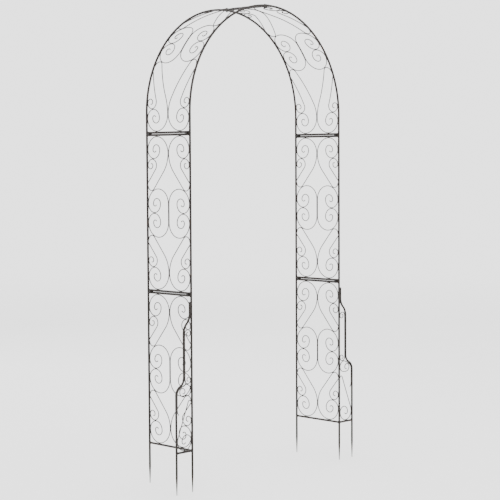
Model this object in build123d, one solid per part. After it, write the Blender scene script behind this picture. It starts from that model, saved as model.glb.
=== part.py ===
from build123d import *

import math
import os

# Garden trellis arch in steel: two ladder-like side towers, a round arch over the
# walkway, and a narrow wing beside each front leg.  Every side is three sections
# (lower, upper, arch) that stack on spigots and are screwed together at lugs.
#
# Frame: millimetres, +X to the right along the span, +Y to the back, +Z up.
# The origin is on the ground, midway between the four legs.

# Whole object
SPAN = 1010.0  # left leg axis to right leg axis
DEPTH = 290.0  # front rail axis to back rail axis
BOTTOM_BAR_Z = 190.0  # axis of the lowest crossbars above the spike tips
LOWER_HEIGHT = 704.0  # crossbar axis to crossbar axis in a lower section
UPPER_HEIGHT = 715.0  # the same in an upper section
SPRING_ABOVE_ARCH_BAR = 91.0  # straight legs of the arch before it turns over
BAR_GAP = 11.0  # axis to axis of the two crossbars that meet at a joint

# Stock
TUBE_D = 10.0
BORE_D = 8.0
WIRE_D = 4.0
FIT = 0.1  # gap left between pieces that are welded where they touch
RIM = 0.5  # chamfer round a rail's end where the next rail stands on it

# Spikes
SPIKE_TAPER = 80.0
SPIKE_TIP_D = 3.0
SPIKE_PLUG = 4.0  # solid length above the taper, where the bore starts

# Spigots inside the rails at each joint
SPIGOT_D = 7.9
SPIGOT_LENGTH = 60.0
APEX_SPIGOT_LENGTH = 40.0

# Screwed lugs
LUG_FROM_LEG = 18.0
LUG_WIDTH = 15.0
LUG_HEIGHT = 20.0
LUG_INNER = 4.0
LUG_OUTER = 7.0
LUG_CORNER = 3.0
SCREW_D = 4.0
SCREW_HOLE_D = 4.5
SCREW_HEAD_D = 8.0
SCREW_HEAD_HEIGHT = 2.6
SCREW_TAIL = 12.5
SLOT_WIDTH = 1.2
SLOT_DEPTH = 1.2
WASHER_D = 9.0
WASHER_BORE_D = 4.3
WASHER_THICKNESS = 0.8
NUT_ACROSS_FLATS = 7.0
NUT_HEIGHT = 3.2
NUT_BORE_D = 4.1
NUT_CHAMFER = 0.5

# Lyre scroll: each loop is a quarter or half turn at its own radius
LYRE_LOOP_R = 76.0
LYRE_CURL_R = 40.0
LYRE_INNER_R = 23.0
LYRE_EYE_R = 11.0
LYRE_HOOK_R = 22.0
LYRE_LEAN = 40.0
ARCH_LYRE_LEAN = 25.0

# C-scroll in the middle of each section
C_CURL_R = 41.0
C_INNER_R = 24.0
C_EYE_R = 11.0

# Small scroll between the lyre's curl and the leg
SMALL_LOOP_R = 28.5
SMALL_INNER_R = 16.0
SMALL_EYE_R = 8.0
ARCH_SMALL_LEAN = 22.0

# Wings, measured out from the front leg's axis
WING_WIDTH = 97.0
WING_NECK_WIDTH = 48.5
WING_TOP_Z = 867.0
WING_SHOULDER_TOP_Z = 815.0
WING_SHOULDER_LOW_Z = 725.0
WING_HIP_TOP_Z = 527.0
WING_HIP_LOW_Z = 450.0
WING_LYRE_CURL_R = 28.0
WING_LYRE_EYE_R = 11.5
WING_LYRE_SWEEP_R = 60.0
WING_LYRE_HOOK_R = 8.0
WING_LYRE_LEAN = 22.0
CROOK_TOP_R = 28.0
CROOK_BASE_R = 24.0
CROOK_BASE_TURN = 75.0
CROOK_FLAT_R = 80.0
CROOK_FLAT_TURN = 22.0
CROOK_SIDE_R = 22.0
CROOK_INNER_R = 16.0
CROOK_EYE_R = 9.0
CROOK_TAIL = 65.0
CROOK_FOOT_R = 40.0
CROOK_FOOT_TURN = 38.0
NECK_CURL_R = 11.5
NECK_EYE_R = 6.0

# Bent wires are drawn as short runs joined by tangent arcs
LONGEST_RUN = 40.0
LARGEST_TURN = 20.0
CORNER_SHARE = 0.48
STRAIGHT_ENOUGH = 0.2  # degrees

# Worked out from the sizes above
HALF_SPAN = SPAN / 2
HALF_DEPTH = DEPTH / 2
ARCH_R = HALF_SPAN
TUBE_TOUCH = TUBE_D / 2 + WIRE_D / 2 + FIT  # wire axis to tube axis
WIRE_TOUCH = WIRE_D + FIT  # wire axis to wire axis
MIDLINE = HALF_DEPTH - WIRE_TOUCH / 2  # wire axis beside its twin on the midline
C_LOOP_R = (MIDLINE - TUBE_TOUCH) / 2
C_CENTRE = C_CURL_R + WIRE_TOUCH / 2  # curls touch each other at mid-height
WING_TOUCH_LEG = TUBE_D + FIT
LOWER_TOP_Z = BOTTOM_BAR_Z + LOWER_HEIGHT
MID_JOINT_Z = LOWER_TOP_Z + BAR_GAP / 2
UPPER_BOTTOM_Z = MID_JOINT_Z + BAR_GAP / 2
UPPER_TOP_Z = UPPER_BOTTOM_Z + UPPER_HEIGHT
TOP_JOINT_Z = UPPER_TOP_Z + BAR_GAP / 2
ARCH_BOTTOM_Z = TOP_JOINT_Z + BAR_GAP / 2
SPRING_Z = ARCH_BOTTOM_Z + SPRING_ABOVE_ARCH_BAR
APEX_Z = SPRING_Z + ARCH_R
ARCH_LENGTH = SPRING_ABOVE_ARCH_BAR + ARCH_R * math.pi / 2 - BAR_GAP / 2


def cosine(degrees):
    return math.cos(math.radians(degrees))


def sine(degrees):
    return math.sin(math.radians(degrees))


# ---------------------------------------------------------------- flat drawing
# Scrolls are drawn with strokes on a flat sheet (s, t): s runs out from the axis
# of the rail that the scroll touches, t runs up.  A stroke is a start point, a
# heading in degrees, a size and a turn: size is a length where the turn is 0 and
# a radius elsewhere, and a positive turn is to the left.


def along(stroke, share, reach=1.0):
    """The point a share of the way along a stroke, or beyond its arc by reach."""
    (s, t), heading, size, turn = stroke
    if turn == 0:
        return (s + share * size * cosine(heading), t + share * size * sine(heading))
    side = math.copysign(1, turn)
    centre_s = s - side * size * sine(heading)
    centre_t = t + side * size * cosine(heading)
    spoke = heading + turn * share
    return (centre_s + side * size * reach * sine(spoke),
            centre_t - side * size * reach * cosine(spoke))


def draw(start, heading, moves):
    """Strokes that follow (size, turn) moves one after another."""
    strokes = []
    for size, turn in moves:
        strokes.append((start, heading, size, turn))
        start = along(strokes[-1], 1)
        heading += turn
    return strokes


def mirrored(strokes, axis_t):
    """The same strokes reflected in the line t = axis_t, drawn the other way."""
    result = []
    for stroke in reversed(strokes):
        s, t = along(stroke, 1)
        heading, size, turn = stroke[1:]
        result.append(((s, 2 * axis_t - t), -(heading + turn + 180), size, turn))
    return result


def lyre_strokes(height, lean):
    """From the hook on the leg, down to the midline, round the bar and in."""
    hook_s = TUBE_TOUCH + LYRE_HOOK_R
    c_loop_s = MIDLINE - C_LOOP_R
    centres = C_LOOP_R + LYRE_HOOK_R + WIRE_TOUCH
    hook_t = height / 2 - C_CENTRE - math.sqrt(centres ** 2 - (c_loop_s - hook_s) ** 2)
    leave_s = hook_s + LYRE_HOOK_R * cosine(lean)
    leave_t = hook_t + LYRE_HOOK_R * sine(lean)
    midline_t = TUBE_TOUCH + LYRE_LOOP_R
    drop = leave_t - midline_t
    sweep_r = (drop * sine(lean) - (MIDLINE - leave_s) * cosine(lean)) / (1 - cosine(lean))
    run = (drop - sweep_r * sine(lean)) / cosine(lean)
    return draw((TUBE_TOUCH, hook_t), 90, [
        (LYRE_HOOK_R, lean - 180),
        (run, 0),
        (sweep_r, -lean),
        (LYRE_LOOP_R, -90),
        (MIDLINE - LYRE_LOOP_R - TUBE_TOUCH, -90),
        (LYRE_CURL_R, -180),
        (LYRE_INNER_R, -180),
        (LYRE_EYE_R, -150),
    ])


def c_strokes(height):
    """Both ends curl in from the leg and touch each other at mid-height."""
    upper = draw((MIDLINE, height / 2), 90, [
        (C_CENTRE, 0),
        (C_LOOP_R, 180),
        (C_CURL_R, 180),
        (C_INNER_R, 180),
        (C_EYE_R, 150),
    ])
    return mirrored(upper, height / 2) + upper


def small_strokes(lean):
    """From the leg down to a loop that rests on the lyre's curl."""
    curl_s = TUBE_TOUCH + LYRE_CURL_R
    curl_t = MIDLINE - LYRE_LOOP_R
    loop_s = TUBE_TOUCH + SMALL_LOOP_R
    centres = LYRE_CURL_R + SMALL_LOOP_R + WIRE_TOUCH
    loop_t = curl_t + math.sqrt(centres ** 2 - (curl_s - loop_s) ** 2)
    leave_s = loop_s + SMALL_LOOP_R * cosine(lean)
    leave_t = loop_t + SMALL_LOOP_R * sine(lean)
    start_s = TUBE_D / 2 + FIT + WIRE_D / 2 * cosine(lean)
    run = (leave_s - start_s) / sine(lean)
    start = (start_s, leave_t + run * cosine(lean))
    return draw(start, lean - 90, [
        (run, 0),
        (SMALL_LOOP_R, -180 - lean),
        (SMALL_INNER_R, -180),
        (SMALL_EYE_R, -120),
    ])


def wing_lyre_strokes():
    """A half lyre in the foot of the wing, hooked to the leg at the top."""
    near_rail = WING_WIDTH - TUBE_TOUCH
    loop_r = (near_rail - TUBE_TOUCH) / 2
    contact_t = BOTTOM_BAR_Z + TUBE_TOUCH + loop_r
    lean = WING_LYRE_LEAN
    sweep_end_s = near_rail - WING_LYRE_SWEEP_R * (1 - cosine(lean))
    sweep_end_t = contact_t + WING_LYRE_SWEEP_R * sine(lean)
    leave_s = TUBE_TOUCH + WING_LYRE_HOOK_R * (1 + cosine(lean))
    run = (sweep_end_s - leave_s) / sine(lean)
    leave_t = sweep_end_t + run * cosine(lean)
    start = (TUBE_TOUCH, leave_t - WING_LYRE_HOOK_R * sine(lean))
    return draw(start, 90, [
        (WING_LYRE_HOOK_R, lean - 180),
        (run, 0),
        (WING_LYRE_SWEEP_R, -lean),
        (loop_r, -180),
        (WING_LYRE_CURL_R, -180),
        (WING_LYRE_EYE_R, -150),
    ])


def wing_bend(near, far, high, low):
    """The radius and the turn of each half of an S-bend in the wing's rail."""
    turn = 2 * math.degrees(math.atan((far - near) / (high - low)))
    return (high - low) / 2 / sine(turn), turn


def crook_over_hip():
    """The crook up the rail and along the hip, and the top of its ring, by the leg."""
    radius, turn = wing_bend(WING_NECK_WIDTH, WING_WIDTH, WING_HIP_TOP_Z, WING_HIP_LOW_Z)
    inside = radius - TUBE_TOUCH
    hip_s = WING_WIDTH - radius + inside * cosine(turn)
    slope = 90 - turn
    reach = hip_s - TUBE_TOUCH - CROOK_TOP_R * (1 + sine(slope))
    run = reach / cosine(slope)
    hip_t = WING_HIP_LOW_Z + inside * sine(turn)
    ring_t = hip_t + run * sine(slope) - CROOK_TOP_R * cosine(slope)
    strokes = [(inside, turn), (run, 0), (CROOK_TOP_R, 90 + slope)]
    return strokes, (TUBE_TOUCH + CROOK_TOP_R, ring_t)


def crook_strokes():
    """From the half lyre up the rail, along the hip and round the ring below it."""
    over_hip, _ = crook_over_hip()
    near_rail = WING_WIDTH - TUBE_TOUCH
    foot_s = near_rail - CROOK_FOOT_R * (1 - cosine(CROOK_FOOT_TURN))
    foot_t = WING_HIP_LOW_Z - CROOK_TAIL - CROOK_FOOT_R * sine(CROOK_FOOT_TURN)
    return draw((foot_s, foot_t), 90 - CROOK_FOOT_TURN, [
        (CROOK_FOOT_R, CROOK_FOOT_TURN),
        (CROOK_TAIL, 0),
        *over_hip,
        (CROOK_BASE_R, CROOK_BASE_TURN),
        (CROOK_FLAT_R, CROOK_FLAT_TURN),
        (CROOK_SIDE_R, 180 - CROOK_BASE_TURN - CROOK_FLAT_TURN),
        (CROOK_INNER_R, 180),
        (CROOK_EYE_R, 120),
    ])


def neck_strokes():
    """A slim C-scroll in the neck of the wing, down from its shoulder to the ring."""
    near_rail = WING_NECK_WIDTH - TUBE_TOUCH
    loop_r = (near_rail - TUBE_TOUCH) / 2
    _, (ring_s, ring_t) = crook_over_hip()
    centres = CROOK_TOP_R + loop_r + WIRE_TOUCH
    low = ring_t + math.sqrt(centres ** 2 - (ring_s - TUBE_TOUCH - loop_r) ** 2)
    middle = (low + WING_SHOULDER_LOW_Z) / 2
    upper = draw((near_rail, middle), 90, [
        (WING_SHOULDER_LOW_Z - middle, 0),
        (loop_r, 180),
        (NECK_CURL_R, 180),
        (NECK_EYE_R, 120),
    ])
    return mirrored(upper, middle) + upper


# ---------------------------------------------------------------- wires


def flat_path(strokes, place):
    """The path along strokes that place() puts on a plane."""
    edges = []
    for stroke in strokes:
        first, middle, last = [place(*along(stroke, share)) for share in (0, 0.5, 1)]
        if stroke[3] == 0:
            edges.append(Edge.make_line(first, last))
        else:
            edges.append(Edge.make_three_point_arc(first, middle, last))
    return Wire(edges)


def flat_wire(strokes, place):
    """The round wire along strokes that place() puts on a plane."""
    return swept(flat_path(strokes, place), WIRE_D / 2)


def bent_wire(strokes, place):
    """The round wire along strokes that place() wraps over a curved surface."""
    corners = [along(strokes[0], 0)]
    for stroke in strokes:
        size, turn = stroke[2:]
        if turn == 0:
            count = math.ceil(size / LONGEST_RUN)
            corners += [along(stroke, step / count) for step in range(1, count)]
        else:
            count = math.ceil(abs(turn) / LARGEST_TURN)
            reach = 1 / cosine(turn / count / 2)
            corners += [along(stroke, (step + 0.5) / count, reach) for step in range(count)]
    corners.append(along(strokes[-1], 1))
    points = [place(*corner) for corner in corners]
    edges = []
    at = points[0]
    for before, corner, after in zip(points, points[1:], points[2:]):
        back = before - corner
        onward = after - corner
        if 180 - back.get_angle(onward) < STRAIGHT_ENOUGH:
            continue
        cut = CORNER_SHARE * min(back.length, onward.length)
        enter = corner + back.normalized() * cut
        leave = corner + onward.normalized() * cut
        edges.append(Edge.make_line(at, enter))
        edges.append(Edge.make_tangent_arc(enter, -back, leave))
        at = leave
    edges.append(Edge.make_line(at, points[-1]))
    return swept(Wire(edges), WIRE_D / 2)


def swept(path, radius, bore=0.0):
    """A round bar or tube along a path."""
    start = Plane(origin=path @ 0, z_dir=path % 0)
    section = Circle(radius)
    if bore:
        section -= Circle(bore)
    return sweep(start * section, path=path)


# ---------------------------------------------------------------- straight parts


def upright(x, y, low, high, radius, bore=0.0):
    """A vertical bar or tube."""
    foot = Plane(origin=(x, y, low))
    section = Circle(radius)
    if bore:
        section -= Circle(bore)
    return extrude(foot * section, high - low)


def spike(x, y):
    """The forged end of a leg, up to where its bore starts."""
    taper = Pos(x, y, SPIKE_TAPER / 2) * Cone(SPIKE_TIP_D / 2, TUBE_D / 2, SPIKE_TAPER)
    plug = upright(x, y, SPIKE_TAPER, SPIKE_TAPER + SPIKE_PLUG, TUBE_D / 2)
    return taper + plug


def eased(rail, joint):
    """The rail with its outer rim chamfered at the end nearest to a joint."""
    rims = [
        edge for edge in rail.edges().filter_by(GeomType.CIRCLE)
        if abs(edge.radius - TUBE_D / 2) < FIT
    ]
    rim = min(rims, key=lambda edge: (edge.arc_center - joint).length)
    return chamfer(rim, RIM)


def leg(x, y):
    """A lower rail: spike, then tube up to the middle joint."""
    tube = upright(x, y, SPIKE_TAPER + SPIKE_PLUG, MID_JOINT_Z, TUBE_D / 2, BORE_D / 2)
    return eased(spike(x, y) + tube, Vector(x, y, MID_JOINT_Z))


def upper_rail(x, y):
    """A straight tube from the middle joint to the upper joint."""
    rail = upright(x, y, MID_JOINT_Z, TOP_JOINT_Z, TUBE_D / 2, BORE_D / 2)
    rail = eased(rail, Vector(x, y, MID_JOINT_Z))
    return eased(rail, Vector(x, y, TOP_JOINT_Z))


def arch_rail(side, y):
    """A rail of the arch: straight up to the spring line, then over to the apex."""
    foot = Vector(side * ARCH_R, y, TOP_JOINT_Z)
    spring, middle, apex = [arch_point(side, y, angle) for angle in (0, 45, 90)]
    path = Wire([Edge.make_line(foot, spring), Edge.make_three_point_arc(spring, middle, apex)])
    rail = swept(path, TUBE_D / 2, BORE_D / 2)
    return eased(eased(rail, foot), apex)


def arch_point(side, y, angle):
    """The point on an arch rail's axis at an angle above the spring line."""
    return Vector(side * ARCH_R * cosine(angle), y, SPRING_Z + ARCH_R * sine(angle))


def crossbar(x, z, rails_along_z=True):
    """A bar between the front and back rails, its ends coped to sit on them."""
    bar = Pos(x, 0, z) * Rot(X=90) * Cylinder(TUBE_D / 2, DEPTH)
    turn = Rot() if rails_along_z else Rot(Y=90)
    for y in (-HALF_DEPTH, HALF_DEPTH):
        bar -= Pos(x, y, z) * turn * Cylinder(TUBE_D / 2 + FIT, 3 * TUBE_D)
    return bar


def notched(bar, places):
    """The bar with a groove for each joint screw that passes it."""
    for place in places:
        bar -= place * Rot(Y=90) * Cylinder(SCREW_HOLE_D / 2, 3 * TUBE_D)
    return bar


# ---------------------------------------------------------------- joints
# A joint's own frame: X from the screw's tail to its head, Y along the crossbars,
# Z from the first crossbar to the second, origin midway between the two.


def lug():
    """A plate welded to one crossbar and saddled over both."""
    thickness = LUG_OUTER - LUG_INNER
    blank = Pos((LUG_OUTER + LUG_INNER) / 2, 0, 0) * Box(thickness, LUG_WIDTH, LUG_HEIGHT)
    blank = fillet(blank.edges().filter_by(Axis.X), LUG_CORNER)
    for z in (-BAR_GAP / 2, BAR_GAP / 2):
        blank -= Pos(0, 0, z) * Rot(X=90) * Cylinder(TUBE_D / 2 + FIT, LUG_WIDTH * 2)
    return blank - Rot(Y=90) * Cylinder(SCREW_HOLE_D / 2, LUG_WIDTH)


def screw():
    """A pan-head screw with a straight slot."""
    shank_length = LUG_OUTER + SCREW_TAIL
    shank = Pos(LUG_OUTER - shank_length / 2, 0, 0) * Rot(Y=90) * Cylinder(SCREW_D / 2, shank_length)
    head = Rot(Y=90) * Cylinder(SCREW_HEAD_D / 2, SCREW_HEAD_HEIGHT)
    head = fillet(head.edges().sort_by(Axis.X)[-1], SCREW_HEAD_HEIGHT / 2)
    head = Pos(LUG_OUTER + SCREW_HEAD_HEIGHT / 2, 0, 0) * head
    slot_x = LUG_OUTER + SCREW_HEAD_HEIGHT - SLOT_DEPTH / 2
    slot = Pos(slot_x, 0, 0) * Box(SLOT_DEPTH, SCREW_HEAD_D, SLOT_WIDTH)
    return shank + head - slot


def washer():
    ring = Cylinder(WASHER_D / 2, WASHER_THICKNESS) - Cylinder(WASHER_BORE_D / 2, WASHER_THICKNESS)
    return Pos(-LUG_OUTER - WASHER_THICKNESS / 2, 0, 0) * Rot(Y=90) * ring


def nut():
    across_corners = NUT_ACROSS_FLATS / cosine(30)
    blank = extrude(RegularPolygon(across_corners / 2, 6), NUT_HEIGHT / 2, both=True)
    corners = Cylinder(across_corners / 2, NUT_HEIGHT)
    blank &= chamfer(corners.edges().filter_by(GeomType.CIRCLE), NUT_CHAMFER)
    blank -= Cylinder(NUT_BORE_D / 2, NUT_HEIGHT)
    seat = -LUG_OUTER - WASHER_THICKNESS - NUT_HEIGHT / 2
    return Pos(seat, 0, 0) * Rot(Y=90) * blank


def joint_places():
    """Each joint's key and the two places of its screws."""
    places = {}
    for side, name in SIDES:
        out = (side, 0, 0)
        places[name + "_mid"] = [((side * HALF_SPAN, y, MID_JOINT_Z), out, (0, 0, 1)) for y in LUG_Y]
        places[name + "_top"] = [((side * HALF_SPAN, y, TOP_JOINT_Z), out, (0, 0, 1)) for y in LUG_Y]
    places["apex"] = [((0, y, APEX_Z), (0, 0, 1), (1, 0, 0)) for y in LUG_Y]
    return {
        key: [Plane(origin=at, x_dir=out, z_dir=up).location for at, out, up in spots]
        for key, spots in places.items()
    }


# ---------------------------------------------------------------- sections


def section_scrolls(side, height, base_z, bent):
    """The lyre, C- and small scrolls of one section, each a list of solids."""

    def place_with(across, flip):
        def place(s, t):
            y = across * (HALF_DEPTH - s)
            rise = base_z + (height - t if flip else t)
            if rise <= SPRING_Z:
                return Vector(side * HALF_SPAN, y, rise)
            return arch_point(side, y, math.degrees((rise - SPRING_Z) / ARCH_R))
        return place

    wire = bent_wire if bent else flat_wire
    lyre = lyre_strokes(height, ARCH_LYRE_LEAN if bent else LYRE_LEAN)
    small = small_strokes(ARCH_SMALL_LEAN if bent else LYRE_LEAN)
    corners = [place_with(across, flip) for across in (-1, 1) for flip in (False, True)]
    halves = [place_with(across, False) for across in (-1, 1)]
    return {
        "lyre_scrolls": [wire(lyre, place) for place in corners],
        "c_scrolls": [wire(c_strokes(height), place) for place in halves],
        "small_scrolls": [wire(small, place) for place in corners],
    }


def lower_section(side, places, name):
    x = side * HALF_SPAN
    pieces = {
        "front_rail": [leg(x, -HALF_DEPTH)],
        "back_rail": [leg(x, HALF_DEPTH)],
        "crossbars": [
            crossbar(x, BOTTOM_BAR_Z),
            notched(crossbar(x, LOWER_TOP_Z), places[name + "_mid"]),
        ],
        "lugs": [place * lug() for place in places[name + "_mid"]],
    }
    pieces.update(section_scrolls(side, LOWER_HEIGHT, BOTTOM_BAR_Z, bent=False))
    return pieces


def upper_section(side, places, name):
    x = side * HALF_SPAN
    behind = Rot(Z=180) * lug()
    pieces = {
        "front_rail": [upper_rail(x, -HALF_DEPTH)],
        "back_rail": [upper_rail(x, HALF_DEPTH)],
        "crossbars": [
            notched(crossbar(x, UPPER_BOTTOM_Z), places[name + "_mid"]),
            notched(crossbar(x, UPPER_TOP_Z), places[name + "_top"]),
        ],
        "lugs": [place * behind for place in places[name + "_mid"]]
        + [place * lug() for place in places[name + "_top"]],
    }
    pieces.update(section_scrolls(side, UPPER_HEIGHT, UPPER_BOTTOM_Z, bent=False))
    return pieces


def arch_section(side, places, name):
    behind = Rot(Z=180) * lug()
    apex_lug = lug() if side > 0 else behind
    apex_bar_z = SPRING_Z + math.sqrt(ARCH_R ** 2 - (BAR_GAP / 2) ** 2)
    apex_bar = crossbar(side * BAR_GAP / 2, apex_bar_z, rails_along_z=False)
    pieces = {
        "front_rail": [arch_rail(side, -HALF_DEPTH)],
        "back_rail": [arch_rail(side, HALF_DEPTH)],
        "crossbars": [
            notched(crossbar(side * HALF_SPAN, ARCH_BOTTOM_Z), places[name + "_top"]),
            notched(apex_bar, places["apex"]),
        ],
        "lugs": [place * behind for place in places[name + "_top"]]
        + [place * apex_lug for place in places["apex"]],
    }
    pieces.update(section_scrolls(side, ARCH_LENGTH, ARCH_BOTTOM_Z, bent=True))
    return pieces


def wing(side):
    """The wing outside one front leg."""
    y = -HALF_DEPTH

    def place(s, t):
        return Vector(side * (HALF_SPAN + s), y, t)

    strokes = [((WING_TOUCH_LEG, WING_TOP_Z), -90, WING_TOP_Z - WING_SHOULDER_TOP_Z, 0)]
    bends = (
        (WING_TOUCH_LEG, WING_NECK_WIDTH, WING_SHOULDER_TOP_Z, WING_SHOULDER_LOW_Z, WING_HIP_TOP_Z),
        (WING_NECK_WIDTH, WING_WIDTH, WING_HIP_TOP_Z, WING_HIP_LOW_Z, SPIKE_TAPER + SPIKE_PLUG),
    )
    for near, far, high, low, next_high in bends:
        radius, turn = wing_bend(near, far, high, low)
        strokes += draw((near, high), -90, [(radius, turn), (radius, -turn), (low - next_high, 0)])
    rail = swept(flat_path(strokes, place), TUBE_D / 2, BORE_D / 2)
    rail += spike(side * (HALF_SPAN + WING_WIDTH), y)
    bar = Pos(side * (HALF_SPAN + WING_WIDTH / 2), y, BOTTOM_BAR_Z) * Rot(Y=90)
    bar = bar * Cylinder(TUBE_D / 2, WING_WIDTH)
    for s in (0, WING_WIDTH):
        x = side * (HALF_SPAN + s)
        bar -= Pos(x, y, BOTTOM_BAR_Z) * Cylinder(TUBE_D / 2 + FIT, 3 * TUBE_D)
    beside = Pos(side * HALF_SPAN, y, BOTTOM_BAR_Z) * Rot(X=90)
    bar -= beside * Cylinder(TUBE_D / 2 + FIT, 3 * TUBE_D)
    return {
        "rail": [rail],
        "bar": [bar],
        "lyre_scroll": [flat_wire(wing_lyre_strokes(), place)],
        "crook_scroll": [flat_wire(crook_strokes(), place)],
        "neck_scroll": [flat_wire(neck_strokes(), place)],
    }


def spigots():
    """The pins inside the rails at the side joints and at the apex."""
    pins = []
    apex_turn = math.degrees(APEX_SPIGOT_LENGTH / 2 / ARCH_R)
    for y in (-HALF_DEPTH, HALF_DEPTH):
        for side, _ in SIDES:
            for z in (MID_JOINT_Z, TOP_JOINT_Z):
                half = SPIGOT_LENGTH / 2
                pins.append(upright(side * HALF_SPAN, y, z - half, z + half, SPIGOT_D / 2))
        ends = [arch_point(1, y, 90 + lean) for lean in (-apex_turn, 0, apex_turn)]
        pins.append(swept(Wire([Edge.make_three_point_arc(*ends)]), SPIGOT_D / 2))
    return pins


def write(name, solids):
    """One STEP file for one node."""
    shape = solids[0] if len(solids) == 1 else Compound(children=list(solids))
    shape.label = name
    export_step(shape, "parts/" + name + ".step")


os.makedirs("parts", exist_ok=True)
SIDES = ((-1, "left"), (1, "right"))
LUG_Y = (-HALF_DEPTH + LUG_FROM_LEG, HALF_DEPTH - LUG_FROM_LEG)
SECTIONS = (("lower", lower_section), ("upper", upper_section), ("arch", arch_section))

places = joint_places()
for side, side_name in SIDES:
    for section_name, build_section in SECTIONS:
        for piece, solids in build_section(side, places, side_name).items():
            write(f"{side_name}_{section_name}_{piece}", solids)
    for piece, solids in wing(side).items():
        write(f"{side_name}_wing_{piece}", solids)

all_places = [place for spots in places.values() for place in spots]
write("leg_spigots", spigots())
write("joint_screws", [place * screw() for place in all_places])
write("joint_washers", [place * washer() for place in all_places])
write("joint_nuts", [place * nut() for place in all_places])
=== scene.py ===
import math

import bpy
from mathutils import Matrix, Vector


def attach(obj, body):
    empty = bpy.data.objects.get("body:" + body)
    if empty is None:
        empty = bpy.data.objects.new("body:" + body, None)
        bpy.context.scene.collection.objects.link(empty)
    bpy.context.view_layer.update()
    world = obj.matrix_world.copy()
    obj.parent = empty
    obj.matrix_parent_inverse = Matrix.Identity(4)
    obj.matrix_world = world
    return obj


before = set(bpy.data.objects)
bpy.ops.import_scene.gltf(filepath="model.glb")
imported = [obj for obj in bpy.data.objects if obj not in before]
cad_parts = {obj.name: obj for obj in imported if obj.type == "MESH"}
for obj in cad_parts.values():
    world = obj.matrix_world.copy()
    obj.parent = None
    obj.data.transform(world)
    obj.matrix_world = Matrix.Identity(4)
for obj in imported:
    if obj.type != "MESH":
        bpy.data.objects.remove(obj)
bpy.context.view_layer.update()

# The welded joints, coated steel and studio of a scrollwork garden arch.
# Frame: metres, +X to the right along the span, +Y to the back, +Z up.

# Object sizes, as in the CAD model
HALF_SPAN = 0.505
HALF_DEPTH = 0.145
BOTTOM_BAR_Z = 0.190
LOWER_HEIGHT = 0.704
UPPER_HEIGHT = 0.715
BAR_GAP = 0.011
SPRING_ABOVE_ARCH_BAR = 0.091
TUBE_R = 0.005
WIRE_R = 0.002
FIT = 0.0001
TUBE_TOUCH = TUBE_R + WIRE_R + FIT
WIRE_TOUCH = 2 * WIRE_R + FIT
MIDLINE = HALF_DEPTH - WIRE_TOUCH / 2
LOWER_TOP_Z = BOTTOM_BAR_Z + LOWER_HEIGHT
UPPER_BOTTOM_Z = LOWER_TOP_Z + BAR_GAP
UPPER_TOP_Z = UPPER_BOTTOM_Z + UPPER_HEIGHT
ARCH_BOTTOM_Z = UPPER_TOP_Z + BAR_GAP
SPRING_Z = ARCH_BOTTOM_Z + SPRING_ABOVE_ARCH_BAR
ARCH_R = HALF_SPAN
ARCH_LENGTH = SPRING_ABOVE_ARCH_BAR + ARCH_R * math.pi / 2 - BAR_GAP / 2
APEX_BAR_Z = SPRING_Z + math.sqrt(ARCH_R ** 2 - (BAR_GAP / 2) ** 2)

# Scroll sizes that fix where the wires touch
LYRE_LOOP_R = 0.076
LYRE_CURL_R = 0.040
LYRE_HOOK_R = 0.022
C_CURL_R = 0.041
C_LOOP_R = (MIDLINE - TUBE_TOUCH) / 2
C_CENTRE = C_CURL_R + WIRE_TOUCH / 2
SMALL_LOOP_R = 0.0285
PANEL_LEAN = 40.0
ARCH_LEAN = 22.0

# Lugs
LUG_FROM_LEG = 0.018
LUG_HALF_WIDTH = 0.0075

# Wings
WING_WIDTH = 0.097
WING_TOP_Z = 0.867
WING_SHOULDER_TOP_Z = 0.815
WING_NECK_WIDTH = 0.0485
WING_SHOULDER_LOW_Z = 0.725
WING_HIP_TOP_Z = 0.527
WING_HIP_LOW_Z = 0.450
CROOK_TOP_R = 0.028
CROOK_TAIL = 0.065

# Weld beads
TACK_LENGTH = 0.009
TACK_R = 0.0023
RING_R = 0.0015
SEAM_R = 0.0021
SEAM_OUT = 0.0022
SEAM_LENGTH = 0.018
SEAM_BELOW_TOP = 0.002
SEAM_END_SHARE = 0.02
LUG_BEAD_LENGTH = 0.0075
LUG_BEAD_R = 0.0016
BEAD_SIDES = 10
TACK_RINGS = 11
SADDLE_RINGS = 48
SADDLE_RIPPLES = 16
SADDLE_OVER = 1.03
SADDLE_WRAP = 0.93
TACK_END_SHARE = 0.995
RIPPLE_PITCH = 0.0018
RIPPLE_DEPTH = 0.09
BEAD_PROUD = 0.0004

# How strongly the coat mirrors, on the shader's scale, where 0.5 is plain plastic
COAT_SPECULAR = 0.18

# Camera, on 36 mm film
CAMERA_AT = (-5.1030, -5.0507, 1.4972)
CAMERA_YAW = 45.414
CAMERA_PITCH = -3.387
CAMERA_ROLL = -0.299
CAMERA_LENS = 107.75


def cosine(degrees):
    return math.cos(math.radians(degrees))


def sine(degrees):
    return math.sin(math.radians(degrees))


# ---------------------------------------------------------------- materials


def new_material(name):
    """A material with a Principled shader, and a helper that adds nodes to it."""
    material = bpy.data.materials.new(name)
    material.use_nodes = True
    tree = material.node_tree
    tree.nodes.clear()
    shader = tree.nodes.new("ShaderNodeBsdfPrincipled")
    output = tree.nodes.new("ShaderNodeOutputMaterial")
    tree.links.new(shader.outputs["BSDF"], output.inputs["Surface"])

    def node(kind, inputs=None, **settings):
        made = tree.nodes.new(kind)
        for key, value in settings.items():
            setattr(made, key, value)
        for key, value in (inputs or {}).items():
            socket = made.inputs[key]
            if isinstance(value, bpy.types.NodeSocket):
                tree.links.new(value, socket)
            else:
                socket.default_value = value
        return made

    def link(source, socket):
        tree.links.new(source, shader.inputs[socket])

    return material, shader, node, link


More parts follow.
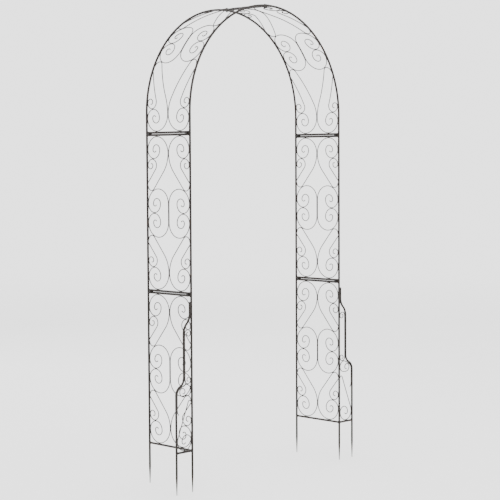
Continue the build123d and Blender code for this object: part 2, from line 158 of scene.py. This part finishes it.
def ramp(node, factor, stops):
    """A colour ramp with its stops set."""
    made = node("ShaderNodeValToRGB", {"Fac": factor})
    elements = made.color_ramp.elements
    while len(elements) < len(stops):
        elements.new(0.5)
    for element, (position, colour) in zip(elements, stops):
        element.position = position
        element.color = (*colour, 1.0)
    return made.outputs["Color"]


def spread(node, value, low, high):
    """A 0 to 1 value stretched over low to high."""
    made = node("ShaderNodeMapRange", {"Value": value, "To Min": low, "To Max": high})
    return made.outputs["Result"]


def noise(node, coordinates, scale, detail=3.0, roughness=0.55):
    made = node("ShaderNodeTexNoise", {
        "Vector": coordinates,
        "Scale": scale,
        "Detail": detail,
        "Roughness": roughness,
    })
    return made.outputs["Fac"]


def speckled(node, place, colour):
    """The colour with fine lighter and darker specks."""
    specks = noise(node, place, 900.0, 2.0, 0.5)
    grain = ramp(node, specks, [(0.35, (0.80, 0.80, 0.80)), (0.70, (1.18, 1.18, 1.18))])
    made = node("ShaderNodeMix", {0: 1.0, 6: colour, 7: grain}, data_type="RGBA", blend_type="MULTIPLY")
    return made.outputs[2]


def orange_peel(node, place, strength, distance, height):
    """The fine dimples of sprayed coating over coarser bumps of the given height."""
    peel = noise(node, place, 1400.0, 2.0, 0.45)
    coarse = node("ShaderNodeBump", {"Strength": strength, "Distance": distance, "Height": height})
    made = node("ShaderNodeBump", {
        "Strength": 0.35,
        "Distance": 0.00006,
        "Height": peel,
        "Normal": coarse.outputs["Normal"],
    })
    return made.outputs["Normal"]


def powder_coat(name, dark, mid, worn, rough_low, rough_high, wear):
    """Sprayed coating: drifting tone, orange peel, specks and rubbed brown patches."""
    material, shader, node, link = new_material(name)
    place = node("ShaderNodeTexCoord").outputs["Object"]
    drift = noise(node, place, 9.0, 4.0, 0.6)
    tone = ramp(node, drift, [(0.32, dark), (0.68, mid)])
    patches = noise(node, place, 38.0, 5.0, 0.62)
    rubbed = ramp(node, patches, [(0.56, (0, 0, 0)), (0.70, (1, 1, 1))])
    amount = node("ShaderNodeMath", {0: rubbed, 1: wear}, operation="MULTIPLY").outputs[0]
    colour = node("ShaderNodeMix", {0: amount, 6: tone, 7: (*worn, 1.0)}, data_type="RGBA").outputs[2]
    link(speckled(node, place, colour), "Base Color")
    gloss = node("ShaderNodeMath", {0: drift, 1: patches}, operation="ADD").outputs[0]
    half = node("ShaderNodeMath", {0: gloss, 1: 0.5}, operation="MULTIPLY").outputs[0]
    link(spread(node, half, rough_low, rough_high), "Roughness")
    chips = noise(node, place, 240.0, 3.0, 0.5)
    link(orange_peel(node, place, 0.25, 0.0003, chips), "Normal")
    shader.inputs["Specular IOR Level"].default_value = COAT_SPECULAR
    return material


def grounded_coat(name, dark, mid, scuffed):
    """The same coating on the legs, lightly scuffed towards the spikes."""
    material, shader, node, link = new_material(name)
    place = node("ShaderNodeTexCoord").outputs["Object"]
    drift = noise(node, place, 9.0, 4.0, 0.6)
    tone = ramp(node, drift, [(0.32, dark), (0.68, mid)])
    height = node("ShaderNodeSeparateXYZ", {0: place}).outputs["Z"]
    ragged = noise(node, place, 60.0, 5.0, 0.65)
    edge = node("ShaderNodeMath", {0: ragged, 1: 0.05, 2: height}, operation="MULTIPLY_ADD").outputs[0]
    low_down = node("ShaderNodeMapRange", {
        "Value": edge,
        "From Min": 0.045,
        "From Max": 0.125,
        "To Min": 0.35,
        "To Max": 0.0,
    }).outputs["Result"]
    crumbs = noise(node, place, 420.0, 3.0, 0.6)
    cover = ramp(node, crumbs, [(0.40, (0.25, 0.25, 0.25)), (0.62, (1, 1, 1))])
    amount = node("ShaderNodeMath", {0: low_down, 1: cover}, operation="MULTIPLY").outputs[0]
    colour = node("ShaderNodeMix", {0: amount, 6: tone, 7: (*scuffed, 1.0)}, data_type="RGBA").outputs[2]
    link(speckled(node, place, colour), "Base Color")
    link(spread(node, amount, 0.42, 0.85), "Roughness")
    lumps = node("ShaderNodeMath", {0: crumbs, 1: amount}, operation="MULTIPLY").outputs[0]
    link(orange_peel(node, place, 0.6, 0.0006, lumps), "Normal")
    shader.inputs["Specular IOR Level"].default_value = COAT_SPECULAR
    return material


def plated_steel(name, dark, bright, metal, rough_low, rough_high):
    """Drawn or plated steel with fine lines and a cloudy tone."""
    material, shader, node, link = new_material(name)
    place = node("ShaderNodeTexCoord").outputs["Object"]
    clouds = noise(node, place, 160.0, 4.0, 0.6)
    link(ramp(node, clouds, [(0.34, dark), (0.66, bright)]), "Base Color")
    link(spread(node, clouds, rough_low, rough_high), "Roughness")
    stretched = node("ShaderNodeMapping", {"Vector": place, "Scale": (1.0, 1.0, 0.06)}).outputs["Vector"]
    lines = noise(node, stretched, 2600.0, 2.0, 0.5)
    bump = node("ShaderNodeBump", {"Strength": 0.2, "Distance": 0.00004, "Height": lines})
    link(bump.outputs["Normal"], "Normal")
    shader.inputs["Metallic"].default_value = metal
    return material


def floor_material(name, pale, fade_from, fade_to):
    """A matt pale floor that thins out to nothing far from the object."""
    material, shader, node, link = new_material(name)
    tree = material.node_tree
    place = node("ShaderNodeTexCoord").outputs["Object"]
    clouds = noise(node, place, 0.9, 3.0, 0.5)
    near = tuple(0.985 * value for value in pale)
    link(ramp(node, clouds, [(0.3, near), (0.7, pale)]), "Base Color")
    shader.inputs["Roughness"].default_value = 0.9
    shader.inputs["Specular IOR Level"].default_value = 0.1
    distance = node("ShaderNodeVectorMath", {0: place}, operation="LENGTH").outputs["Value"]
    fade = node("ShaderNodeMapRange", {"Value": distance, "From Min": fade_from, "From Max": fade_to},
                interpolation_type="SMOOTHSTEP").outputs["Result"]
    clear = node("ShaderNodeBsdfTransparent").outputs["BSDF"]
    mixed = node("ShaderNodeMixShader", {0: fade, 1: shader.outputs["BSDF"], 2: clear}).outputs[0]
    output = next(made for made in tree.nodes if made.type == "OUTPUT_MATERIAL")
    tree.links.new(mixed, output.inputs["Surface"])
    return material


TUBE_COAT = powder_coat("tube_coat", (0.0100, 0.0080, 0.0068), (0.0175, 0.0136, 0.0113),
                        (0.042, 0.026, 0.017), 0.36, 0.58, 0.55)
LEG_COAT = grounded_coat("leg_coat", (0.0100, 0.0080, 0.0068), (0.0175, 0.0136, 0.0113),
                         (0.070, 0.045, 0.028))
WIRE_COAT = powder_coat("wire_coat", (0.0095, 0.0077, 0.0066), (0.0170, 0.0132, 0.0110),
                        (0.042, 0.026, 0.017), 0.40, 0.62, 0.60)
WELD_COAT = powder_coat("weld_coat", (0.0095, 0.0076, 0.0064), (0.0165, 0.0126, 0.0104),
                        (0.048, 0.029, 0.018), 0.46, 0.68, 0.80)
BLACK_ZINC = plated_steel("black_zinc", (0.016, 0.016, 0.017), (0.038, 0.038, 0.040), 0.55, 0.30, 0.46)
BARE_STEEL = plated_steel("bare_steel", (0.30, 0.29, 0.27), (0.46, 0.45, 0.43), 1.0, 0.24, 0.40)


def cad_material(node_name):
    """The finish of one CAD node."""
    if node_name in ("joint_screws", "joint_washers", "joint_nuts"):
        return BLACK_ZINC
    if node_name == "leg_spigots":
        return BARE_STEEL
    if "scroll" in node_name:
        return WIRE_COAT
    if node_name.endswith(("wing_rail", "lower_front_rail", "lower_back_rail")):
        return LEG_COAT
    return TUBE_COAT


# An edge that turns more than this, in degrees, stays sharp
SHARP_TURN = 28.0

for node_name, cad_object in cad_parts.items():
    mesh = cad_object.data
    mesh.materials.clear()
    mesh.materials.append(cad_material(node_name))
    mesh.shade_smooth()
    mesh.set_sharp_from_angle(angle=math.radians(SHARP_TURN))

# ---------------------------------------------------------------- weld meshes


class Beads:
    """Collects the weld beads of one group and makes them one object."""

    def __init__(self, name):
        self.name = name
        self.vertices = []
        self.faces = []

    def bead(self, points, radii, closed=False):
        """A rounded bead along points, with a radius at each."""
        count = len(points)
        first = len(self.vertices)
        side = None
        for index, point in enumerate(points):
            if closed:
                ahead = points[(index + 1) % count] - points[index - 1]
            else:
                ahead = points[min(index + 1, count - 1)] - points[max(index - 1, 0)]
            ahead.normalize()
            if side is None:
                side = ahead.orthogonal().normalized()
            side = (side - ahead * side.dot(ahead)).normalized()
            other = ahead.cross(side)
            for step in range(BEAD_SIDES):
                turn = 2 * math.pi * step / BEAD_SIDES
                spoke = side * math.cos(turn) + other * math.sin(turn)
                self.vertices.append(point + spoke * radii[index])
        rings = count if closed else count - 1
        for index in range(rings):
            ring = first + index * BEAD_SIDES
            onward = first + (index + 1) % count * BEAD_SIDES
            for step in range(BEAD_SIDES):
                after = (step + 1) % BEAD_SIDES
                self.faces.append((ring + step, ring + after, onward + after, onward + step))
        if not closed:
            last = first + (count - 1) * BEAD_SIDES
            self.faces.append(tuple(range(first + BEAD_SIDES - 1, first - 1, -1)))
            self.faces.append(tuple(range(last, last + BEAD_SIDES)))

    def tack(self, along, length=TACK_LENGTH, radius=TACK_R):
        """A short rounded bead. along(u) is the point at u metres from its middle."""
        points = []
        radii = []
        for index in range(TACK_RINGS):
            share = 2 * index / (TACK_RINGS - 1) - 1
            share *= TACK_END_SHARE
            points.append(along(share * length / 2))
            ripple = 1 + RIPPLE_DEPTH * math.cos(2 * math.pi * share * length / 2 / RIPPLE_PITCH)
            radii.append(radius * ripple * (1 - share ** 4) ** 0.5)
        self.bead(points, radii)

    def seam(self, start, end, radius=SEAM_R):
        """A straight run of overlapping puddles."""
        start = Vector(start)
        end = Vector(end)
        length = (end - start).length
        count = max(9, int(length / RIPPLE_PITCH * 4))
        points = []
        radii = []
        for index in range(count):
            share = index / (count - 1)
            points.append(start.lerp(end, share))
            ripple = 1 + RIPPLE_DEPTH * math.cos(2 * math.pi * share * length / RIPPLE_PITCH)
            ends = math.sqrt(max(SEAM_END_SHARE, 1 - (2 * share - 1) ** 8))
            radii.append(radius * ripple * ends)
        self.bead(points, radii)

    def saddle(self, centre, out, up, radius=RING_R):
        """The ring where a crossbar runs into a rail: out is along the bar, up is along the rail."""
        centre = Vector(centre)
        out = Vector(out)
        up = Vector(up)
        across = out.cross(up)
        points = []
        radii = []
        reach = TUBE_R + FIT
        for index in range(SADDLE_RINGS):
            turn = 2 * math.pi * index / SADDLE_RINGS
            sideways = TUBE_R * SADDLE_OVER * math.cos(turn)
            upward = TUBE_R * SADDLE_OVER * math.sin(turn)
            depth = math.sqrt(reach ** 2 - min(abs(sideways), reach * SADDLE_WRAP) ** 2)
            points.append(centre + out * (depth + BEAD_PROUD) + across * sideways + up * upward)
            radii.append(radius * (1 + RIPPLE_DEPTH * math.cos(SADDLE_RIPPLES * turn)))
        self.bead(points, radii, closed=True)

    def finish(self, slot="frame_tube"):
        """The object, smooth-shaded, coated and riding on the root."""
        mesh = bpy.data.meshes.new(self.name)
        mesh.from_pydata(self.vertices, [], self.faces)
        mesh.update()
        mesh.shade_smooth()
        mesh.materials.append(WELD_COAT)
        piece = bpy.data.objects.new(self.name, mesh)
        bpy.context.scene.collection.objects.link(piece)
        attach(piece, "root")
        return piece


# ---------------------------------------------------------------- panels
# A place on a panel is (s, t): s from the axis of a rail, t up from the axis of
# the lower crossbar, along the panel.


def arch_point(side, y, angle):
    return Vector((side * ARCH_R * cosine(angle), y, SPRING_Z + ARCH_R * sine(angle)))


def panel_place(side, base_z, height, across, flip):
    """The point of the panel at (s, t), measured from one of its four corners."""

    def place(s, t):
        y = across * (HALF_DEPTH - s)
        rise = base_z + (height - t if flip else t)
        if rise <= SPRING_Z:
            return Vector((side * HALF_SPAN, y, rise))
        return arch_point(side, y, math.degrees((rise - SPRING_Z) / ARCH_R))

    return place


def contacts(height, small_lean):
    """Where a quarter panel's wires touch: (s, t, heading of the bead in degrees)."""
    touch = TUBE_R + FIT / 2
    hook_s = TUBE_TOUCH + LYRE_HOOK_R
    c_loop_s = MIDLINE - C_LOOP_R
    c_loop_t = height / 2 - C_CENTRE
    centres = C_LOOP_R + LYRE_HOOK_R + WIRE_TOUCH
    hook_t = c_loop_t - math.sqrt(centres ** 2 - (c_loop_s - hook_s) ** 2)
    meet = (LYRE_HOOK_R + WIRE_TOUCH / 2) / centres
    meet_heading = math.degrees(math.atan2(c_loop_t - hook_t, c_loop_s - hook_s)) + 90
    curl_s = TUBE_TOUCH + LYRE_CURL_R
    curl_t = MIDLINE - LYRE_LOOP_R
    small_s = TUBE_TOUCH + SMALL_LOOP_R
    small_centres = LYRE_CURL_R + SMALL_LOOP_R + WIRE_TOUCH
    small_t = curl_t + math.sqrt(small_centres ** 2 - (curl_s - small_s) ** 2)
    rest = (LYRE_CURL_R + WIRE_TOUCH / 2) / small_centres
    rest_heading = math.degrees(math.atan2(small_t - curl_t, small_s - curl_s)) + 90
    land_s = TUBE_R + FIT + WIRE_R * cosine(small_lean)
    leave_s = small_s + SMALL_LOOP_R * cosine(small_lean)
    land_t = small_t + SMALL_LOOP_R * sine(small_lean)
    land_t += (leave_s - land_s) / sine(small_lean) * cosine(small_lean)
    return [
        (HALF_DEPTH, TUBE_TOUCH + LYRE_LOOP_R, 90.0),
        (MIDLINE - LYRE_LOOP_R, touch, 0.0),
        (touch, curl_t, 90.0),
        (touch, hook_t, 90.0),
        (hook_s + (c_loop_s - hook_s) * meet, hook_t + (c_loop_t - hook_t) * meet, meet_heading),
        (curl_s + (small_s - curl_s) * rest, curl_t + (small_t - curl_t) * rest, rest_heading),
        (touch, small_t, 90.0),
        (touch + BEAD_PROUD, land_t, 90.0),
        (touch, c_loop_t, 90.0),
        (HALF_DEPTH, c_loop_t, 90.0),
    ]


def weld_panel(beads, side, base_z, height, small_lean):
    """The tack welds of one panel, mirrored into its four quarters."""
    spots = contacts(height, small_lean)
    for across in (-1, 1):
        for flip in (False, True):
            place = panel_place(side, base_z, height, across, flip)
            for s, t, heading in spots:
                # A spot on the middle line belongs to both halves and is welded once.
                if s == HALF_DEPTH and across > 0:
                    continue

                def along(u, s=s, t=t, heading=heading, place=place):
                    return place(s + u * cosine(heading), t + u * sine(heading))

                beads.tack(along)
        middle = panel_place(side, base_z, height, across, False)
        c_loop_s = MIDLINE - C_LOOP_R

        def across_curls(u, middle=middle, c_loop_s=c_loop_s):
            return middle(c_loop_s - (C_LOOP_R - C_CURL_R) + u, height / 2)

        beads.tack(across_curls)


def wing_contacts():
    """Where the wires of a wing touch: (s, height, heading of the bead in degrees)."""
    rail_touch = WING_WIDTH - TUBE_R - FIT / 2
    neck_touch = WING_NECK_WIDTH - TUBE_R - FIT / 2
    leg_touch = TUBE_R + FIT / 2
    lyre_z = BOTTOM_BAR_Z + TUBE_TOUCH + (WING_WIDTH - 2 * TUBE_TOUCH) / 2
    bend = 2 * math.atan((WING_WIDTH - WING_NECK_WIDTH) / (WING_HIP_TOP_Z - WING_HIP_LOW_Z))
    bend_r = (WING_HIP_TOP_Z - WING_HIP_LOW_Z) / 2 / math.sin(bend)
    bend_s = WING_WIDTH - bend_r
    inside = bend_r - TUBE_TOUCH
    hip_touch = bend_r - TUBE_R - FIT / 2
    hip_s = bend_s + hip_touch * math.cos(bend)
    hip_z = WING_HIP_LOW_Z + hip_touch * math.sin(bend)
    slope = math.pi / 2 - bend
    ring_s = TUBE_TOUCH + CROOK_TOP_R
    run = (bend_s + inside * math.cos(bend) - ring_s - CROOK_TOP_R * math.sin(slope)) / math.cos(slope)
    ring_z = WING_HIP_LOW_Z + inside * math.sin(bend)
    ring_z += run * math.sin(slope) - CROOK_TOP_R * math.cos(slope)
    loop_r = (WING_NECK_WIDTH - 2 * TUBE_TOUCH) / 2
    loop_s = TUBE_TOUCH + loop_r
    centres = CROOK_TOP_R + loop_r + WIRE_TOUCH
    loop_z = ring_z + math.sqrt(centres ** 2 - (ring_s - loop_s) ** 2)
    meet = (CROOK_TOP_R + WIRE_TOUCH / 2) / centres
    meet_heading = math.degrees(math.atan2(loop_z - ring_z, loop_s - ring_s)) + 90
    return [
        (rail_touch, lyre_z, 90.0),
        (WING_WIDTH / 2, BOTTOM_BAR_Z + TUBE_R + FIT / 2, 0.0),
        (leg_touch, lyre_z, 90.0),
        (rail_touch, WING_HIP_LOW_Z - CROOK_TAIL, 90.0),
        (rail_touch, WING_HIP_LOW_Z, 90.0),
        (hip_s, hip_z, 90 + math.degrees(bend)),
        (leg_touch, ring_z, 90.0),
        (ring_s + (loop_s - ring_s) * meet, ring_z + (loop_z - ring_z) * meet, meet_heading),
        (leg_touch, loop_z, 90.0),
        (neck_touch, WING_HIP_TOP_Z, 90.0),
        (neck_touch, WING_SHOULDER_LOW_Z, 90.0),
        (leg_touch, WING_SHOULDER_LOW_Z, 90.0),
    ]


def weld_crossbar(beads, x, z, up):
    """Both ends of a crossbar. up is the direction of the rails there."""
    for across in (-1, 1):
        beads.saddle((x, across * HALF_DEPTH, z), (0, -across, 0), up)


def weld_lug(beads, bar, out, up, y):
    """Short beads at both edges of a lug, where it sits on its crossbar."""
    out = Vector(out)
    up = Vector(up)
    for edge in (-1, 1):
        centre = Vector(bar) + Vector((0, y + edge * LUG_HALF_WIDTH, 0))

        def along(u, centre=centre):
            turn = u / TUBE_R
            return centre + (out * math.cos(turn) + up * math.sin(turn)) * (TUBE_R + FIT)

        beads.tack(along, LUG_BEAD_LENGTH, LUG_BEAD_R)


LUG_Y = (-HALF_DEPTH + LUG_FROM_LEG, HALF_DEPTH - LUG_FROM_LEG)
UP = (0, 0, 1)

for side, side_name in ((-1, "left"), (1, "right")):
    outward = (side, 0, 0)
    inward = (-side, 0, 0)
    leg_x = side * HALF_SPAN

    lower = Beads(side_name + "_lower_welds")
    weld_panel(lower, side, BOTTOM_BAR_Z, LOWER_HEIGHT, PANEL_LEAN)
    weld_crossbar(lower, leg_x, BOTTOM_BAR_Z, UP)
    weld_crossbar(lower, leg_x, LOWER_TOP_Z, UP)

    upper = Beads(side_name + "_upper_welds")
    weld_panel(upper, side, UPPER_BOTTOM_Z, UPPER_HEIGHT, PANEL_LEAN)
    weld_crossbar(upper, leg_x, UPPER_BOTTOM_Z, UP)
    weld_crossbar(upper, leg_x, UPPER_TOP_Z, UP)

    arch = Beads(side_name + "_arch_welds")
    weld_panel(arch, side, ARCH_BOTTOM_Z, ARCH_LENGTH, ARCH_LEAN)
    weld_crossbar(arch, leg_x, ARCH_BOTTOM_Z, UP)
    weld_crossbar(arch, side * BAR_GAP / 2, APEX_BAR_Z, (1, 0, 0))

    for y in LUG_Y:
        weld_lug(lower, (leg_x, 0, LOWER_TOP_Z), outward, UP, y)
        weld_lug(upper, (leg_x, 0, UPPER_BOTTOM_Z), inward, UP, y)
        weld_lug(upper, (leg_x, 0, UPPER_TOP_Z), outward, UP, y)
        weld_lug(arch, (leg_x, 0, ARCH_BOTTOM_Z), inward, UP, y)
        apex_out = (0, 0, side)
        weld_lug(arch, (side * BAR_GAP / 2, 0, APEX_BAR_Z), apex_out, (1, 0, 0), y)

    wing = Beads(side_name + "_wing_welds")
    groove_x = leg_x + side * (TUBE_R + FIT / 2)
    for low in (WING_TOP_Z - SEAM_BELOW_TOP - SEAM_LENGTH, WING_SHOULDER_TOP_Z):
        for face in (-1, 1):
            seam_y = -HALF_DEPTH + face * SEAM_OUT
            wing.seam((groove_x, seam_y, low), (groove_x, seam_y, low + SEAM_LENGTH))
    rail_x = leg_x + side * WING_WIDTH
    wing.saddle((leg_x, -HALF_DEPTH, BOTTOM_BAR_Z), outward, UP)
    wing.saddle((rail_x, -HALF_DEPTH, BOTTOM_BAR_Z), inward, UP)
    for s, t, heading in wing_contacts():

        def on_wing(u, s=s, t=t, heading=heading):
            x = leg_x + side * (s + u * cosine(heading))
            return Vector((x, -HALF_DEPTH, t + u * sine(heading)))

        wing.tack(on_wing)

    for beads in (lower, upper, arch, wing):
        beads.finish()

# ---------------------------------------------------------------- studio


def add_floor(radius, sides):
    """A flat disc under the spike tips."""
    vertices = [(0.0, 0.0, 0.0)]
    for index in range(sides):
        turn = 2 * math.pi * index / sides
        vertices.append((radius * math.cos(turn), radius * math.sin(turn), 0.0))
    faces = [(0, index + 1, (index + 1) % sides + 1) for index in range(sides)]
    mesh = bpy.data.meshes.new("floor")
    mesh.from_pydata(vertices, [], faces)
    mesh.materials.append(floor_material("floor_paint", (0.90, 0.90, 0.90), 5.0, 14.0))
    floor = bpy.data.objects.new("floor", mesh)
    bpy.context.scene.collection.objects.link(floor)


def add_area(name, at, target, size, power, colour=(1.0, 1.0, 1.0)):
    """A soft square lamp turned towards a point."""
    lamp = bpy.data.lights.new(name, "AREA")
    lamp.shape = "SQUARE"
    lamp.size = size
    lamp.energy = power
    lamp.color = colour
    holder = bpy.data.objects.new(name, lamp)
    holder.location = at
    towards = Vector(target) - Vector(at)
    holder.rotation_euler = towards.to_track_quat("-Z", "Y").to_euler()
    bpy.context.scene.collection.objects.link(holder)


def add_camera():
    """The camera, from its place, yaw from +Y to +X, pitch and roll."""
    forward = Vector((
        sine(CAMERA_YAW) * cosine(CAMERA_PITCH),
        cosine(CAMERA_YAW) * cosine(CAMERA_PITCH),
        sine(CAMERA_PITCH),
    ))
    right = Vector((cosine(CAMERA_YAW), -sine(CAMERA_YAW), 0.0))
    up = right.cross(forward)
    rolled_right = cosine(CAMERA_ROLL) * right + sine(CAMERA_ROLL) * up
    rolled_up = cosine(CAMERA_ROLL) * up - sine(CAMERA_ROLL) * right
    turned = Matrix((rolled_right, rolled_up, -forward)).transposed().to_4x4()
    data = bpy.data.cameras.new("camera")
    data.sensor_width = 36.0
    data.lens = CAMERA_LENS
    data.clip_end = 60.0
    camera = bpy.data.objects.new("camera", data)
    camera.matrix_world = Matrix.Translation(CAMERA_AT) @ turned
    bpy.context.scene.collection.objects.link(camera)
    bpy.context.scene.camera = camera


def set_world(brightness):
    """A plain white surround."""
    world = bpy.data.worlds.new("studio")
    world.use_nodes = True
    background = world.node_tree.nodes["Background"]
    background.inputs["Color"].default_value = (1.0, 1.0, 1.0, 1.0)
    background.inputs["Strength"].default_value = brightness
    bpy.context.scene.world = world


add_floor(16.0, 64)
set_world(2.6)
add_area("key", (-3.5, -3.0, 4.5), (0, 0, 1.1), 2.5, 120.0)
add_area("fill", (2.5, -4.0, 2.5), (0, 0, 1.0), 2.5, 50.0)
add_area("rim", (1.0, 4.5, 4.0), (0, 0, 1.4), 2.5, 90.0)
add_camera()
